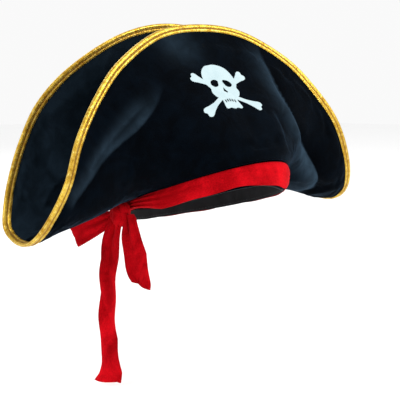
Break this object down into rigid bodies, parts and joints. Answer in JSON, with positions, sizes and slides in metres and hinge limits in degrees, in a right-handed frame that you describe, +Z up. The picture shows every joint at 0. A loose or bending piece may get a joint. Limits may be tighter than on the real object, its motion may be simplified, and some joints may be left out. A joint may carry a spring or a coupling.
{
  "type": "pirate hat",
  "caption": "Velvet bicorne pirate hat: tall foam-stiffened brims edged in gold braid, a cap crown, a red band tied at the side with a bow loop and hanging ends, and a skull emblem in front.",
  "frame": {"origin": "centre of the head opening, at the red headband's mean height", "axes": "+Z up as the hat is worn, front towards -Y, the wearer's left towards +X, so the knot is at -X"},
  "size_m": [0.4122, 0.2033, 0.3617],
  "materials": {
    "black_velvet": "matte",
    "foam": "matte",
    "lining": "satin",
    "sweatband": "matte",
    "gold_braid": "satin",
    "red_velvet": "matte",
    "white_film": "satin"
  },
  "bodies": {
    "hat": {"front_brim_shell": "black_velvet", "front_brim_foam": "foam", "front_brim_facing": "black_velvet", "rear_brim_shell": "black_velvet", "rear_brim_foam": "foam", "rear_brim_facing": "black_velvet", "gold_braid": "gold_braid", "crown_side_left": "black_velvet", "crown_side_right": "black_velvet", "crown_tip": "black_velvet", "lining_side_left": "lining", "lining_side_right": "lining", "lining_tip": "lining", "sweatband": "sweatband", "headband": "red_velvet", "knot": "red_velvet", "skull_emblem": "white_film"},
    "long_tail": {"long_tail": "red_velvet"},
    "short_tail": {"short_tail": "red_velvet"},
    "bow_loop": {"bow_loop": "red_velvet"}
  },
  "joints": [
    {"name": "long_tail_swing", "type": "hinge", "parent": "hat", "child": "long_tail", "pos_m": [-0.095, 0.0185, -0.0265], "axis": [-0.5, 0.866, 0], "range_deg": [-12, 60]},
    {"name": "short_tail_swing", "type": "hinge", "parent": "hat", "child": "short_tail", "pos_m": [-0.0905, -0.001, -0.02], "axis": [-0.5, 0.866, 0], "range_deg": [-12, 60]},
    {"name": "bow_loop_tilt", "type": "hinge", "parent": "hat", "child": "bow_loop", "pos_m": [-0.0945, 0.0262, -0.02], "axis": [-0.8854, -0.4648, 0], "range_deg": [-5, 10]}
  ]
}
